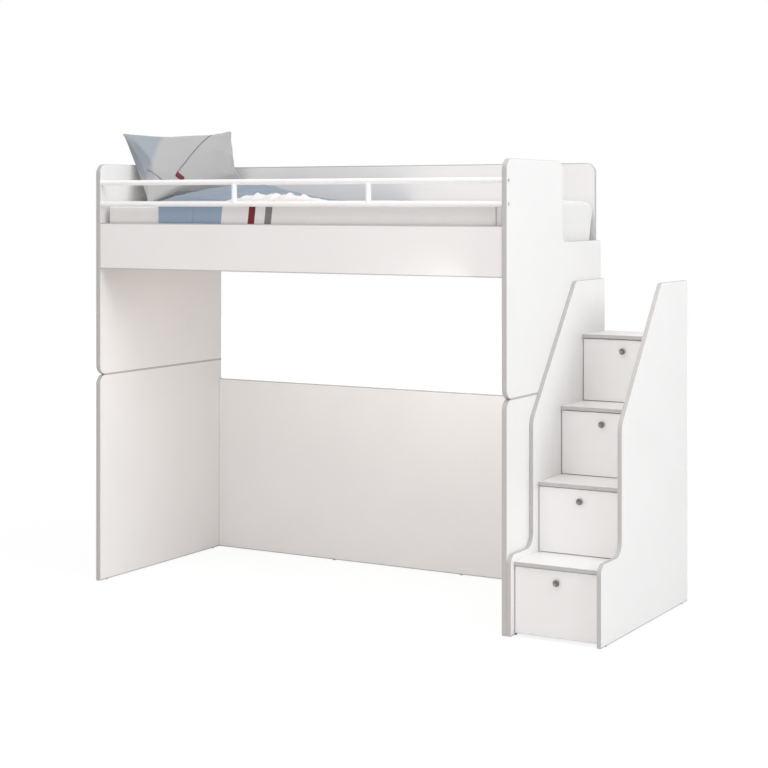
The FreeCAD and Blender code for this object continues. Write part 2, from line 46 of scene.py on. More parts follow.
# A shader socket that can stand in sums; every other node comes from its node method.
class Sock:
    def __init__(self, tree, out=None):
        self.tree, self.out = tree, out

    def node(self, kind, settings=None, links=None, output=0):
        made = self.tree.nodes.new("ShaderNode" + kind)
        for key, value in (settings or {}).items():
            if key == "stops":
                ramp = made.color_ramp
                while len(ramp.elements) < len(value):
                    ramp.elements.new(1.0)
                for element, (place, colour) in zip(ramp.elements, value):
                    element.position = place
                    element.color = (*colour, 1.0)
            else:
                setattr(made, key, value)
        for key, value in (links or {}).items():
            if isinstance(value, Sock):
                self.tree.links.new(value.out, made.inputs[key])
            elif made.inputs[key].type == "RGBA":
                made.inputs[key].default_value = (*value, 1.0)
            else:
                made.inputs[key].default_value = value
        return Sock(self.tree, made.outputs[output] if made.outputs else None)

    def math(self, operation, *values):
        return self.node("Math", {"operation": operation}, dict(enumerate(values)))

    def __add__(self, other):
        return self.math("ADD", self, other)

    def __sub__(self, other):
        return self.math("SUBTRACT", self, other)

    def __rsub__(self, other):
        return self.math("SUBTRACT", other, self)

    def __mul__(self, other):
        return self.math("MULTIPLY", self, other)

    __radd__ = __add__
    __rmul__ = __mul__

    def smooth(self, low, high):
        links = {"Value": self, "From Min": low, "From Max": high}
        return self.node("MapRange", {"interpolation_type": "SMOOTHSTEP"}, links)

    def band(self, low, high, soft):
        return self.smooth(low - soft, low + soft) * (1 - self.smooth(high - soft, high + soft))

    def blend(self, first, second):
        return self.node("Mix", {"data_type": "RGBA"}, {0: self, 6: first, 7: second}, 2)

    def mottle(self, first, second, low=0.3, high=0.7):
        return self.smooth(low, high).blend(first, second)

    def axis(self, place, i):
        return self.node("SeparateXYZ", None, {0: place}, i)

    def speckle(self, place, scale, detail=3.0, stretch=(1, 1, 1)):
        spread = self.node("Mapping", None, {"Vector": place, "Scale": stretch})
        return self.node("TexNoise", None, {"Vector": spread, "Scale": scale, "Detail": detail})

    def bump(self, height, strength, distance):
        links = {"Height": height, "Strength": strength, "Distance": distance}
        return self.node("Bump", None, links)


def startMaterial(name):
    material = bpy.data.materials.new(name)
    material.use_nodes = True
    material.node_tree.nodes.clear()
    graph = Sock(material.node_tree)
    return material, graph, graph.node("TexCoord", output="Object")


def endMaterial(material, graph, links):
    shader = graph.node("BsdfPrincipled", None, links)
    graph.node("OutputMaterial", None, {"Surface": shader})
    return material


# Boards: white faces and a grey band on every edge. The axis is the one through the board.
board = {"white": (0.87, 0.865, 0.86), "whiteDeep": (0.85, 0.845, 0.84), "band": (0.545, 0.53, 0.52),
         "bandDeep": (0.49, 0.48, 0.47), "faceFrom": 0.86, "faceTo": 0.95, "rim": 0.0045,
         "rimSoft": 0.0008, "cloud": 2.3, "grain": 420.0, "grainFrom": 0.35, "grainTo": 0.65,
         "polish": 60.0, "rough": 0.36, "roughSpan": 0.14, "shine": 0.4, "bump": (0.05, 0.0005)}


def laminate(name, axis, banded=True, rims=()):
    material, graph, place = startMaterial(name)
    normal = graph.node("TexCoord", output="Normal")
    across = graph.math("ABSOLUTE", graph.axis(normal, axis))
    face = across.smooth(board["faceFrom"], board["faceTo"])
    # Each rim paints a band-grey line on the face along one side: partly the band's rounded edge, partly
    # painted shade.
    for i, side, limit in rims:
        inside = (graph.axis(place, i) - limit) * side
        face = face * inside.smooth(board["rim"] - board["rimSoft"], board["rim"] + board["rimSoft"])
    grain = graph.speckle(place, board["grain"])
    white = graph.speckle(place, board["cloud"]).mottle(board["white"], board["whiteDeep"])
    grey = grain.mottle(board["band"], board["bandDeep"], board["grainFrom"], board["grainTo"])
    links = {
        "Base Color": face.blend(grey, white) if banded else white,
        "Roughness": board["rough"] + board["roughSpan"] * graph.speckle(place, board["polish"]),
        "Specular IOR Level": board["shine"],
        "Normal": graph.bump(grain, *board["bump"]),
    }
    return endMaterial(material, graph, links)


# Planed softwood with its grain along one axis.
timber = {"pale": (0.66, 0.50, 0.32), "mid": (0.56, 0.40, 0.235), "dark": (0.43, 0.285, 0.15),
          "stops": (0.3, 0.48, 0.66), "rings": 26.0, "fibre": 190.0, "detail": 4.0, "ringShare": 0.75,
          "stretch": 0.06, "rough": 0.5, "roughSpan": 0.2, "bump": (0.25, 0.0006)}


def planedWood(name, axis):
    material, graph, place = startMaterial(name)
    stretch = [timber["stretch"] if i == axis else 1 for i in range(3)]
    rings = graph.speckle(place, timber["rings"], timber["detail"], stretch)
    fibre = graph.speckle(place, timber["fibre"], timber["detail"], stretch)
    stops = list(zip(timber["stops"], (timber["dark"], timber["mid"], timber["pale"])))
    tone = rings * timber["ringShare"] + fibre * (1 - timber["ringShare"])
    links = {
        "Base Color": graph.node("ValToRGB", {"stops": stops}, {0: tone}),
        "Roughness": timber["rough"] + timber["roughSpan"] * fibre,
        "Normal": graph.bump(fibre, *timber["bump"]),
    }
    return endMaterial(material, graph, links)


# Metal and enamel, mottled a little, with a finer grain on top.
skin = {"roughSpan": 0.14, "finer": 9, "fineDetail": 2.0, "bump": (0.04, 0.0004),
        "guardEnamel": {"colour": (0.95, 0.945, 0.94), "dull": (0.93, 0.925, 0.92), "rough": 0.3,
                        "metallic": 0.0, "scale": 40.0},
        "zincSteel": {"colour": (0.60, 0.60, 0.61), "dull": (0.48, 0.48, 0.5), "rough": 0.34,
                      "metallic": 1.0, "scale": 90.0},
        "darkNickel": {"colour": (0.23, 0.205, 0.20), "dull": (0.18, 0.16, 0.155), "rough": 0.36,
                       "metallic": 1.0, "scale": 90.0}}


def metal(name):
    material, graph, place = startMaterial(name)
    kind = skin[name]
    cloud = graph.speckle(place, kind["scale"])
    fine = graph.speckle(place, kind["scale"] * skin["finer"], skin["fineDetail"])
    links = {
        "Base Color": cloud.mottle(kind["colour"], kind["dull"]),
        "Metallic": kind["metallic"],
        "Roughness": kind["rough"] + skin["roughSpan"] * (cloud - 0.5),
        "Normal": graph.bump(fine, *skin["bump"]),
    }
    return endMaterial(material, graph, links)


# Plain matt stuff: plastic glides, cotton cord.
matt = {"scale": 300.0, "rough": 0.5, "roughSpan": 0.15, "bump": (0.15, 0.0003),
        "glide": (0.36, 0.36, 0.36), "glideDeep": (0.3, 0.3, 0.3)}


def moulded(name, colour, dull):
    material, graph, place = startMaterial(name)
    cloud = graph.speckle(place, matt["scale"])
    links = {
        "Base Color": cloud.mottle(colour, dull),
        "Roughness": matt["rough"] + matt["roughSpan"] * cloud,
        "Normal": graph.bump(cloud, *matt["bump"]),
    }
    return endMaterial(material, graph, links)


longLaminate = laminate("longBoardWhite", 1)
treadLaminate = laminate("treadWhite", 2)
plainLaminate = laminate("drawerBoardWhite", 0, banded=False)
slatWood = planedWood("slatWood", 1)
ledgeWood = planedWood("ledgeWood", 0)
enamel = metal("guardEnamel")
zinc = metal("zincSteel")
nickel = metal("darkNickel")
glidePlastic = moulded("glidePlastic", matt["glide"], matt["glideDeep"])

dressing = {
    longLaminate: ["stair_back_panel"] + [f"drawer_{n}_front" for n in range(1, 5)],
    treadLaminate: [f"stair_tread_{n}" for n in range(1, 5)],
    plainLaminate: [f"drawer_{n}_{part}" for n in range(1, 5)
                    for part in ("left_side", "right_side", "back", "bottom")],
    slatWood: ["bed_slats"],
    ledgeWood: ["front_slat_ledge", "rear_slat_ledge", "panel_dowels", "tread_dowels"],
    enamel: ["guard_top_rail", "guard_bottom_rail", "guard_posts"],
    zinc: ["cam_bolts", "cam_locks", "stair_joining_bolts", "fixed_drawer_runners"]
    + [f"drawer_{n}_runners" for n in range(1, 5)],
    glidePlastic: ["floor_glides", "guard_end_plugs"],
}

# On these boards a band-grey line is painted on the face along the sides named here: partly the band's
# rounded edge, partly painted shade at the joints between boards and along the floor. A side is its axis and
# the way inwards from it. The boards are listed by the axis through them.
sides = {"front": (1, 1), "low": (2, 1), "high": (2, -1)}
edgeAndShadeLined = {
    0: {"left_upper_end_panel": ("front", "low"), "left_lower_end_panel": ("front", "low", "high"),
        "right_upper_end_panel": ("low",), "right_lower_end_panel": ("low", "high"),
        "stair_left_side": ("low",), "stair_right_side": ("low",)},
    1: {"front_side_rail": ("low", "high"), "upper_back_panel": ("high",),
        "lower_back_panel": ("low", "high")},
}
for axis, boards in edgeAndShadeLined.items():
    for name, shown in boards.items():
        rims = []
        for i, side in (sides[key] for key in shown):
            reach = [vertex.co[i] for vertex in nodes[name].data.vertices]
            rims.append((i, side, min(reach) if side > 0 else max(reach)))
        dressing[laminate(name + "_white", axis, rims=rims)] = [name]
for material, names in dressing.items():
    for name in names:
        nodes[name].data.materials.clear()
        nodes[name].data.materials.append(material)
print("boards, tubes and fittings dressed")


# Cloth: a plain weave of crossing threads, read from a map in metres.
def weave(graph, place, pitch):
    turn = 2 * math.pi / pitch
    parts = [graph.axis(place, i) for i in range(3)]
    first = graph.math("SINE", (parts[0] + parts[2]) * turn)
    second = graph.math("SINE", (parts[1] - parts[2]) * turn)
    return first * second


thread = {"slub": 260.0, "slubDetail": 4.0, "rough": 0.86, "roughSpan": 0.1, "sheen": 0.25,
          "sheenRough": 0.5, "shine": 0.2, "weaveShare": 0.5, "pitch": 0.0016, "bump": (0.28, 0.0007)}


def cloth(name, colourOf, mapName=None, pitch=thread["pitch"]):
    material, graph, place = startMaterial(name)
    flat = graph.node("UVMap", {"uv_map": mapName}) if mapName else place
    slub = graph.speckle(flat, thread["slub"], thread["slubDetail"])
    threads = weave(graph, flat, pitch) * thread["weaveShare"]
    links = {
        "Base Color": colourOf(graph, flat, slub),
        "Roughness": thread["rough"] + thread["roughSpan"] * (slub - 0.5),
        "Sheen Weight": thread["sheen"],
        "Sheen Roughness": thread["sheenRough"],
        "Specular IOR Level": thread["shine"],
        "Normal": graph.bump(threads + slub, *thread["bump"]),
    }
    return endMaterial(material, graph, links)


def selectFaces(obj, test):
    bpy.ops.object.mode_set(mode="OBJECT")
    for polygon in obj.data.polygons:
        polygon.select = test(polygon)
    for edge in obj.data.edges:
        edge.select = False
    for vertex in obj.data.vertices:
        vertex.select = False
    for polygon in obj.data.polygons:
        if polygon.select:
            for index in polygon.vertices:
                obj.data.vertices[index].select = True
    bpy.ops.object.mode_set(mode="EDIT")
    bpy.ops.mesh.select_mode(type="FACE")


def selectEdges(obj, test):
    bpy.ops.object.mode_set(mode="OBJECT")
    points = [vertex.co for vertex in obj.data.vertices]
    for part in (obj.data.polygons, obj.data.vertices):
        for item in part:
            item.select = False
    for edge in obj.data.edges:
        edge.select = test(points[edge.vertices[0]], points[edge.vertices[1]])
        if edge.select:
            for index in edge.vertices:
                obj.data.vertices[index].select = True
    bpy.ops.object.mode_set(mode="EDIT")
    bpy.ops.mesh.select_mode(type="EDGE")


def settle(obj, name, material):
    bpy.ops.object.mode_set(mode="OBJECT")
    bpy.ops.object.transform_apply(location=True, rotation=True, scale=True)
    obj.name = obj.data.name = name
    obj.data.materials.clear()
    obj.data.materials.append(material)
    return obj


# Edges that turn by less than this are shaded smooth.
smoothAngle = math.radians(35)
# A face looks along an axis when its normal has more than this along it.
facing = 0.9


def applyAll(obj):
    for modifier in list(obj.modifiers):
        bpy.ops.object.modifier_apply(modifier=modifier.name)


# Drawer knobs: a low turned knob with a dished face, modelled once and copied to each drawer.
knob = {"radius": 0.013, "height": 0.011, "cap": 0.005, "neck": 0.007, "base": 0.009, "baseHeight": 0.002,
        "rim": 0.0028, "dish": 0.0013, "soft": 0.0006, "softSteps": 3, "sides": 48, "weld": 0.00001}


def turnKnob(low, high):
    middle = (low + high) / 2
    faceY = low.y
    bpy.ops.mesh.primitive_cylinder_add(vertices=knob["sides"], radius=knob["radius"], depth=knob["cap"],
                                        location=(middle.x, faceY + knob["cap"] / 2, middle.z),
                                        rotation=(math.pi / 2, 0, 0))
    obj = bpy.context.object
    bpy.ops.object.transform_apply(location=True, rotation=True, scale=True)
    selectFaces(obj, lambda p: p.normal.y < -facing)
    bpy.ops.mesh.inset(thickness=knob["rim"])
    bpy.ops.mesh.inset(thickness=knob["rim"])
    bpy.ops.transform.translate(value=(0, knob["dish"], 0))
    selectFaces(obj, lambda p: p.normal.y > facing)
    bpy.ops.mesh.inset(thickness=knob["radius"] - knob["neck"])
    bpy.ops.mesh.extrude_region_move(
        TRANSFORM_OT_translate={"value": (0, knob["height"] - knob["cap"] - knob["baseHeight"], 0)})
    ratio = knob["base"] / knob["neck"]
    bpy.ops.mesh.extrude_region_move(TRANSFORM_OT_translate={"value": (0, 0, 0)})
    bpy.ops.transform.resize(value=(ratio, 1, ratio))
    bpy.ops.mesh.extrude_region_move(TRANSFORM_OT_translate={"value": (0, knob["baseHeight"], 0)})
    bpy.ops.mesh.select_all(action="SELECT")
    bpy.ops.mesh.remove_doubles(threshold=knob["weld"])
    bpy.ops.mesh.normals_make_consistent(inside=False)
    settle(obj, "drawerKnob1", nickel)
    soften = obj.modifiers.new("soften", "BEVEL")
    soften.width, soften.segments, soften.angle_limit = knob["soft"], knob["softSteps"], smoothAngle
    applyAll(obj)
    bpy.ops.object.shade_smooth_by_angle(angle=smoothAngle)
    return obj


firstKnob = turnKnob(*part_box("drawer_1_knob"))
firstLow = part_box("drawer_1_knob")[0]
for n in range(1, 5):
    piece = firstKnob
    if n > 1:
        piece = firstKnob.copy()
        piece.data = firstKnob.data.copy()
        piece.name = piece.data.name = f"drawerKnob{n}"
        bpy.context.collection.objects.link(piece)
        piece.data.transform(Matrix.Translation(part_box(f"drawer_{n}_knob")[0] - firstLow))
    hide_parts(f"drawer_{n}_knob")
    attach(piece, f"drawer_{n}")
bpy.ops.object.select_all(action="DESELECT")
print("knobs turned")


# Guard rail bolts: button heads with a hexagon socket, on the outer faces of the end panels.
bolt = {"radius": 0.007, "height": 0.0025, "socket": 0.0024, "socketDepth": 0.0015, "socketSides": 6,
        "round": 0.0013, "roundSteps": 4, "outer": 0.9, "sides": 32}


def boltHead(x, side, y, z):
    bpy.ops.object.select_all(action="DESELECT")
    bpy.ops.mesh.primitive_cylinder_add(vertices=bolt["sides"], radius=bolt["radius"], depth=bolt["height"],
                                        location=(x + side * bolt["height"] / 2, y, z),
                                        rotation=(0, math.pi / 2, 0))
    head = bpy.context.object
    bpy.ops.object.transform_apply(location=True, rotation=True, scale=True)
    outer = bolt["height"] * bolt["outer"]
    selectEdges(head, lambda a, b: min(side * (a.x - x), side * (b.x - x)) > outer)
    bpy.ops.mesh.bevel(offset=bolt["round"], segments=bolt["roundSteps"])
    bpy.ops.object.mode_set(mode="OBJECT")
    bpy.ops.mesh.primitive_cylinder_add(vertices=bolt["socketSides"], radius=bolt["socket"],
                                        depth=2 * bolt["socketDepth"],
                                        location=(x + side * bolt["height"], y, z),
                                        rotation=(0, math.pi / 2, 0))
    key = bpy.context.object
    bpy.ops.object.transform_apply(location=True, rotation=True, scale=True)
    bpy.ops.object.select_all(action="DESELECT")
    head.select_set(True)
    bpy.context.view_layer.objects.active = head
    socket = head.modifiers.new("socket", "BOOLEAN")
    socket.operation, socket.object, socket.solver = "DIFFERENCE", key, "EXACT"
    applyAll(head)
    bpy.data.objects.remove(key)
    return head


boltLow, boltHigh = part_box("guard_rail_bolts")
outerFaces = ((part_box("right_upper_end_panel")[1].x, 1), (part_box("left_upper_end_panel")[0].x, -1))
guardZ = [(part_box(name)[0].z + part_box(name)[1].z) / 2 for name in ("guard_bottom_rail", "guard_top_rail")]
guardY = (boltLow.y + boltHigh.y) / 2
heads = [boltHead(x, side, guardY, z) for x, side in outerFaces for z in guardZ]
bpy.ops.object.select_all(action="DESELECT")
for head in heads:
    head.select_set(True)
bpy.context.view_layer.objects.active = heads[0]
bpy.ops.object.join()
guardBolts = settle(bpy.context.object, "guardBoltHeads", zinc)
bpy.ops.object.shade_smooth_by_angle(angle=smoothAngle)
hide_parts("guard_rail_bolts")
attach(guardBolts, "bed")
print("guard bolts set")


# Mattress: a foam block in white ticking, with a tape edge round both rims.
mattress = {"corner": 0.014, "cornerSteps": 6, "rim": 0.02, "rimSteps": 4, "upright": 0.05, "level": 0.001,
            "voxel": 0.012, "sag": 0.0025, "sagEven": 0.6, "flatBelow": 0.01, "dentScale": (6.0, 17.0),
            "dentShare": (0.6, 0.4), "tape": 0.0035, "tapeSides": 3, "tapeInset": 0.004,
            "tapeCornerSteps": 8, "tapeCuts": 12, "footTaper": 0.045, "taperTop": 0.03, "footReach": 0.3,
            "footRound": 0.036, "roundReach": 0.095, "white": (0.93, 0.93, 0.925),
            "shade": (0.90, 0.90, 0.895)}
matLow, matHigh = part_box("mattress")
ticking = cloth("mattressTicking",
                lambda graph, flat, slub: slub.mottle(mattress["white"], mattress["shade"]))


def clip(t):
    return max(0.0, min(1.0, t))


def ease(t):
    t = clip(t)
    return t * t * (3 - 2 * t)


def between(places, values, x):
    # A value that eases from one listed value to the next over the listed places.
    for i in range(len(places) - 1):
        if x < places[i + 1]:
            t = ease((x - places[i]) / (places[i + 1] - places[i]))
            return values[i] + (values[i + 1] - values[i]) * t
    return values[-1]


def footForm(point):
    # Near the foot the far side is drawn in, most at the bottom, and its upper edge falls in a round.
    near = ease(1 - (matHigh.x - point.x) / mattress["footReach"])
    low = clip((matHigh.z - mattress["taperTop"] - point.z) / (matHigh.z - matLow.z))
    side = clip(point.y / matHigh.y)
    edge = clip(1 - (matHigh.y - point.y) / mattress["roundReach"])
    high = ease(1 - (matHigh.z - point.z) / mattress["roundReach"])
    fall = mattress["footRound"] * (1 - math.sqrt(1 - edge * edge)) * high
    return Vector((0.0, -mattress["footTaper"] * low * side, -fall)) * near


def foamBlock():
    middle = (matLow + matHigh) / 2
    bpy.ops.mesh.primitive_cube_add(size=1, location=middle)
    obj = bpy.context.object
    obj.scale = matHigh - matLow
    bpy.ops.object.transform_apply(location=True, rotation=True, scale=True)
    selectEdges(obj, lambda a, b: abs(a.z - b.z) > mattress["upright"])
    bpy.ops.mesh.bevel(offset=mattress["corner"], segments=mattress["cornerSteps"])
    selectEdges(obj, lambda a, b: abs(a.z - b.z) < mattress["level"])
    bpy.ops.mesh.bevel(offset=mattress["rim"], segments=mattress["rimSteps"])
    settle(obj, "mattressBlock", ticking)
    remesh = obj.modifiers.new("remesh", "REMESH")
    remesh.mode, remesh.voxel_size, remesh.use_smooth_shade = "VOXEL", mattress["voxel"], True
    applyAll(obj)
    even = mattress["sagEven"]
    dents = list(zip(mattress["dentScale"], mattress["dentShare"]))
    for vertex in obj.data.vertices:
        point = vertex.co
        dent = sum(noise.noise(point * scale) * share for scale, share in dents)
        inward = (middle - point).normalized()
        if point.z > matLow.z + mattress["flatBelow"]:
            point += inward * mattress["sag"] * (even + (1 - even) * dent)
        point += footForm(point)
    return obj


def tapeEdge(name, z):
    inset = mattress["tapeInset"]
    size = matHigh - matLow
    bpy.ops.object.select_all(action="DESELECT")
    middle = (matLow + matHigh) / 2
    bpy.ops.mesh.primitive_plane_add(size=1, location=(middle.x, middle.y, z))
    obj = bpy.context.object
    obj.scale = (size.x - 2 * inset, size.y - 2 * inset, 1)
    bpy.ops.object.transform_apply(location=True, rotation=True, scale=True)
    bpy.ops.object.mode_set(mode="EDIT")
    bpy.ops.mesh.select_all(action="SELECT")
    bpy.ops.mesh.bevel(offset=mattress["corner"], segments=mattress["tapeCornerSteps"], affect="VERTICES")
    bpy.ops.mesh.select_all(action="SELECT")
    bpy.ops.mesh.delete(type="ONLY_FACE")
    bpy.ops.mesh.select_all(action="SELECT")
    bpy.ops.mesh.subdivide(number_cuts=mattress["tapeCuts"])
    bpy.ops.object.mode_set(mode="OBJECT")
    for vertex in obj.data.vertices:
        vertex.co += footForm(vertex.co)
    bpy.ops.object.convert(target="CURVE")
    obj = bpy.context.object
    obj.data.bevel_depth, obj.data.bevel_resolution = mattress["tape"], mattress["tapeSides"]
    bpy.ops.object.convert(target="MESH")
    obj = settle(bpy.context.object, name, ticking)
    bpy.ops.object.shade_smooth()
    return obj


bpy.ops.object.select_all(action="DESELECT")
foam = foamBlock()
tapes = [tapeEdge("mattressTopTape", matHigh.z - mattress["rim"]),
         tapeEdge("mattressBottomTape", matLow.z + mattress["rim"])]
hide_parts("mattress")
for piece in [foam] + tapes:
    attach(piece, "bed")
print("mattress made")


# Bed cover: a light quilt, blue at its head and white below, humped near the pillow and rumpled up along
# its front, hanging at front and foot.
quilt = {
    "step": 0.008, "thick": 0.006, "bend": 0.012, "tuck": 0.05, "tuckBend": 0.02, "lift": 0.008,
    "hump": 0.080, "humpAt": (0.0, 0.069, 0.154, 0.223, 0.30, 0.3685, 0.463, 0.574, 3.0),
    "humpShare": (0.70, 0.85, 1.0, 0.96, 0.70, 0.45, 0.19, 0.04, 0.0), "ridge": 0.52, "lean": 0.12,
    "hem": 0.040, "slit": 0.030, "cutBelow": 0.004, "nearTop": 0.002,
    # small folds: over the top, calmer towards the foot, and along the front drop
    "folds": {"wrinkle": 0.0045, "scale": (5.0, 13.0), "finer": 2.3, "share": (0.7, 0.3), "edge": 0.07,
              "calm": 0.55, "calmFrom": 0.35, "calmReach": 0.5, "crease": 0.179, "creaseDepth": 0.003,
              "creaseWidth": 0.006, "wave": 0.0025, "waveScale": 9.0, "hangReach": 0.06,
              "hangNear": 0.02},
    # the head edge, which closes down to the mattress
    "headEdge": {"rows": 8, "gap": 0.001, "bulge": 0.010, "bulgeHeight": 0.02, "slip": 0.002},
    # the print, in metres along the cover, and painted shade: a darker blue on the top and along the crease
    # of the front drop
    "dyesAndShade": {"blueTo": 0.333, "skew": 0.55, "skewFrom": 0.09, "redFrom": 0.474, "redTo": 0.508,
             "greyFrom": 0.56, "greyTo": 0.595, "stripeOver": 0.012, "crisp": 0.001, "creaseSoft": 0.003,
             "blue": (0.345, 0.44, 0.57), "blueDeep": (0.31, 0.40, 0.52), "blueCreaseShade": (0.23, 0.295, 0.39),
             "blueTopShade": (0.222, 0.282, 0.36), "white": (0.86, 0.855, 0.85),
             "whiteDeep": (0.82, 0.815, 0.81), "red": (0.20, 0.026, 0.036), "grey": (0.235, 0.235, 0.235)},
    # the rumpled roll along the front
    "roll": {"from": 0.335, "to": 0.85, "far": 0.225, "crest": 0.028, "rampIn": 0.22, "rampOut": 0.42,
             "fold": 0.076, "foldDepth": 0.006, "sway": 1.6, "swayScale": (4, 2.5), "second": 2.3,
             "secondTurn": 1.1, "secondShare": 0.5, "crumple": 0.007, "crumpleScale": (34, 40),
             "crumpleRamp": 3},
}
folds, headEdge, dyesAndShade, roll = (quilt[key] for key in ("folds", "headEdge", "dyesAndShade", "roll"))
coverLow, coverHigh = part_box("bed_cover")
coverTop = matHigh.z + quilt["lift"]
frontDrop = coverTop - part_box("front_side_rail")[1].z + quilt["hem"]
footDrop = coverTop - coverLow.z


def quiltColour(graph, flat, slub):
    along, across = [graph.axis(flat, i) for i in range(2)]
    crisp = dyesAndShade["crisp"]
    hanging = 1 - across.smooth(frontDrop + dyesAndShade["stripeOver"], frontDrop + 1.5 * dyesAndShade["stripeOver"])
    crease = hanging * along.band(folds["crease"] - crisp, folds["crease"] + crisp, dyesAndShade["creaseSoft"])
    # Painted shade: on the top the blue is painted darker than on the hanging drop, to even out the stronger
    # light on the top.
    blue = hanging.blend(dyesAndShade["blueTopShade"], slub.mottle(dyesAndShade["blue"], dyesAndShade["blueDeep"]))
    # Painted shade: along the crease in the hanging drop the blue is painted darker.
    blue = crease.blend(blue, dyesAndShade["blueCreaseShade"])
    white = slub.mottle(dyesAndShade["white"], dyesAndShade["whiteDeep"])
    colour = along.smooth(dyesAndShade["blueTo"] - crisp, dyesAndShade["blueTo"] + crisp).blend(blue, white)
    for stripe in ("red", "grey"):
        mask = hanging * along.band(dyesAndShade[stripe + "From"], dyesAndShade[stripe + "To"], crisp)
        colour = mask.blend(colour, dyesAndShade[stripe])
    return colour


quiltCloth = cloth("quiltCloth", quiltColour, "clothMap")


def frontRoll(x, y):
    # The cover is rumpled up along its front, in short folds. The third number in a place picks a slice of
    # the noise.
    s, t = (x - roll["from"]) / (roll["to"] - roll["from"]), y / roll["far"]
    ends = ease(s / roll["rampIn"]) * ease((1 - s) / roll["rampOut"])
    swayX, swayY = roll["swayScale"]
    sway = roll["sway"] * noise.noise(Vector((s * swayX, t * swayY, 1.0)))
    swing = 2 * math.pi * x / roll["fold"] + sway
    second = roll["secondShare"] * math.sin(roll["second"] * swing + roll["secondTurn"])
    fold = roll["foldDepth"] * (math.sin(swing) + second)
    crumpleX, crumpleY = roll["crumpleScale"]
    crumple = roll["crumple"] * abs(noise.noise(Vector((x * crumpleX, y * crumpleY, 0.5))))
    height = (roll["crest"] + fold) * ends + crumple * min(1.0, roll["crumpleRamp"] * ends)
    return height * ease(2 * t) * ease(2 - 2 * t)


def coverHeight(x, y):
    # Height of the cover over the flat mattress, x and y in metres from its head edge and its front.
    width = coverHigh.y - coverLow.y
    share = clip(y / width)
    ridge = quilt["ridge"]
    t = share / (2 * ridge) if share < ridge else 0.5 + (share - ridge) / (2 * (1 - ridge))
    arch = math.sin(math.pi * t)
    edge = ease(y / folds["edge"]) * ease((width - y) / folds["edge"])
    place = Vector((x * folds["scale"][0], y * folds["scale"][1], 0.3))
    broad, fine = folds["share"]
    fold = abs(noise.noise(place)) * broad + abs(noise.noise(place * folds["finer"])) * fine
    near = 1 - folds["calm"] * ease((x - folds["calmFrom"]) / folds["calmReach"])
    hump = quilt["hump"] * between(quilt["humpAt"], quilt["humpShare"], x)
    return max(hump * arch, frontRoll(x, y)) + folds["wrinkle"] * 2 * fold * edge * near


def bendPath(s, straight, radius):
    # A point along a path that runs straight, turns a quarter round and goes on at a right angle.
    turn = radius * math.pi / 2
    if s < straight:
        return s, 0.0
    if s < straight + turn:
        angle = (s - straight) / radius
        return straight + radius * math.sin(angle), radius * (1 - math.cos(angle))
    return straight + radius, radius + s - straight - turn


def quiltSheet():
    width, length = coverHigh.y - coverLow.y, coverHigh.x - coverLow.x
    bend, tuckBend = quilt["bend"], quilt["tuckBend"]
    quarter = math.pi / 2 - 1
    total = frontDrop + bend * quarter + width + tuckBend * quarter + quilt["tuck"]
    alongRun = length + footDrop + bend * quarter
    headRows, nearTop = headEdge["rows"], quilt["nearTop"]
    countU, countV = round(alongRun / quilt["step"]) + headRows, round(total / quilt["step"])
    bpy.ops.object.select_all(action="DESELECT")
    bpy.ops.mesh.primitive_grid_add(x_subdivisions=countU, y_subdivisions=countV, size=1)
    obj = bpy.context.object
    mesh = obj.data
    mapped, cut = [], []
    for vertex in mesh.vertices:
        i = round((vertex.co.x + 0.5) * countU)
        s = (vertex.co.y + 0.5) * total
        u = (i - headRows) / (countU - headRows) * alongRun
        # along the bed: flat, then down at the foot
        x, fallen = (u, 0.0) if u < 0 else bendPath(u, length - bend, bend)
        hanging = ease(fallen / bend)
        # across the bed: up the front, over the top, down behind
        rise, y = bendPath(s, frontDrop - bend, bend)
        z = min(rise, frontDrop) - frontDrop
        over = y - (width - tuckBend)
        if over > 0:
            inside, down = bendPath(over, 0.0, tuckBend)
            y = width - tuckBend + inside + (min(over, tuckBend) - inside) * hanging
            z = -down * (1 - hanging)
        top = ease((z + bend) / bend) * ease((bend - fallen) / bend)
        height = coverHeight(max(x, 0.0), y) * top
        if i < headRows:
            share = i / headRows
            close = height + quilt["lift"] - headEdge["gap"]
            bulge = headEdge["bulge"] * min(1.0, height / headEdge["bulgeHeight"])
            x = -bulge * math.sin(math.pi * share) - headEdge["slip"] * (1 - share)
            height -= close * (1 - share) * (1 if z > -nearTop else 0)
        hang = ease(-z / folds["hangReach"]) if y < folds["hangNear"] else 0.0
        wave = 0.5 + 0.5 * noise.noise(Vector((x * folds["waveScale"], 0.7, 0.2)))
        crease = math.exp(-((x - folds["crease"]) / folds["creaseWidth"]) ** 2) * folds["creaseDepth"]
        inwards = hang * (folds["wave"] * wave + crease)
        place = Vector((coverLow.x + x, coverLow.y + y + inwards, coverTop + z - fallen + height))
        vertex.co = place + footForm(Vector((min(place.x, matHigh.x), place.y, place.z)))
        skew = dyesAndShade["skew"] * max(0.0, y - dyesAndShade["skewFrom"]) + quilt["lean"] * min(s, frontDrop)
        mapped.append((u - skew, s))
        below = s < frontDrop - nearTop
        slit = below and u > length - quilt["slit"]
        cut.append(slit or fallen > quilt["cutBelow"] and (below or over > tuckBend))
    layer = mesh.uv_layers[0]
    layer.name = "clothMap"
    for loop in mesh.loops:
        layer.data[loop.index].uv = mapped[loop.vertex_index]
    selectFaces(obj, lambda p: any(cut[k] for k in p.vertices))
    bpy.ops.mesh.delete(type="FACE")
    settle(obj, "bedQuilt", quiltCloth)
    body = obj.modifiers.new("body", "SOLIDIFY")
    body.thickness, body.offset = quilt["thick"], -1
    applyAll(obj)
    bpy.ops.object.shade_smooth()
    return obj, total, alongRun


bedQuilt, quiltWidth, quiltLength = quiltSheet()
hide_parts("bed_cover")
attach(bedQuilt, "bed")
print("quilt draped, cut", round(quiltWidth, 3), "by", round(quiltLength, 3), "m")


